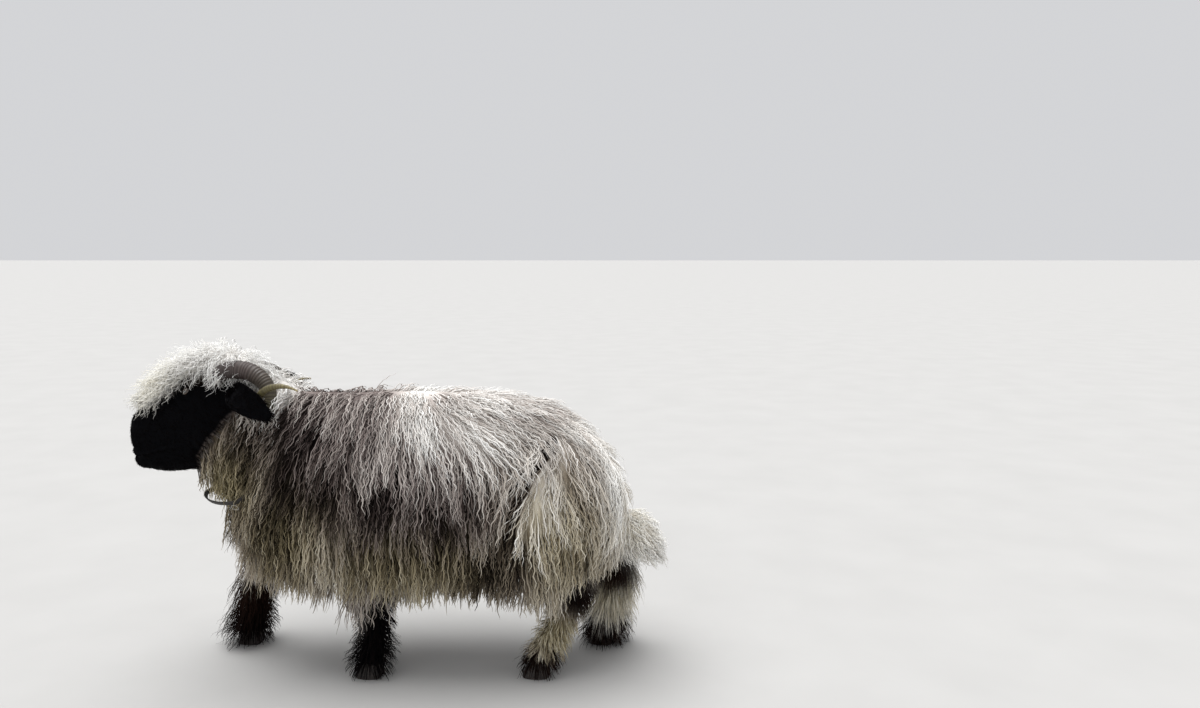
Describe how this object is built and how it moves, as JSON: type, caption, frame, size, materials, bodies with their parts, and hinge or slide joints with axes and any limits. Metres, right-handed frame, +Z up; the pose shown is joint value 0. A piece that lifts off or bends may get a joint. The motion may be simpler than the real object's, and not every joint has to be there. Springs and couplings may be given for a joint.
{
  "type": "valais blacknose sheep",
  "caption": "Life-size still model of a horned Valais Blacknose sheep in mid-stride, with long locks, black face and feet, and a thin throat strap.",
  "frame": {"origin": "on the floor, at the middle of the bottom of the sheep's bounding box", "axes": "+Z up; the sheep faces -X, its left side is toward -Y"},
  "size_m": [1.4984, 0.5294, 0.9174],
  "materials": {
    "fleece": "long wavy locks of grey-brown and cream wool",
    "face_wool": "short dense black wool with a bushy cream forelock",
    "leg_wool": "shaggy black wool with cream shanks",
    "ear_skin": "short velvety black-brown hair",
    "ridged_horn": "grey-brown horn with fine growth rings and an olive tip",
    "hoof_horn": "dark hoof horn",
    "eye_gloss": "wet glossy amber-brown eye",
    "collar_leather": "thin worn dark leather",
    "collar_steel": "dull steel wire ring"
  },
  "bodies": {
    "root": {"torso": "fleece", "hindquarters": "fleece", "neck": "fleece", "head": "face_wool", "tail": "fleece", "foreleg_left": "leg_wool", "hoof_foreleg_left_inner": "hoof_horn", "hoof_foreleg_left_outer": "hoof_horn", "foreleg_right": "leg_wool", "hoof_foreleg_right_inner": "hoof_horn", "hoof_foreleg_right_outer": "hoof_horn", "hindleg_left": "leg_wool", "hoof_hindleg_left_inner": "hoof_horn", "hoof_hindleg_left_outer": "hoof_horn", "hindleg_right": "leg_wool", "hoof_hindleg_right_inner": "hoof_horn", "hoof_hindleg_right_outer": "hoof_horn", "horn_left": "ridged_horn", "ear_left": "ear_skin", "eye_left": "eye_gloss", "horn_right": "ridged_horn", "ear_right": "ear_skin", "eye_right": "eye_gloss", "collar_strap": "collar_leather", "collar_ring": "collar_steel"}
  },
  "joints": []
}
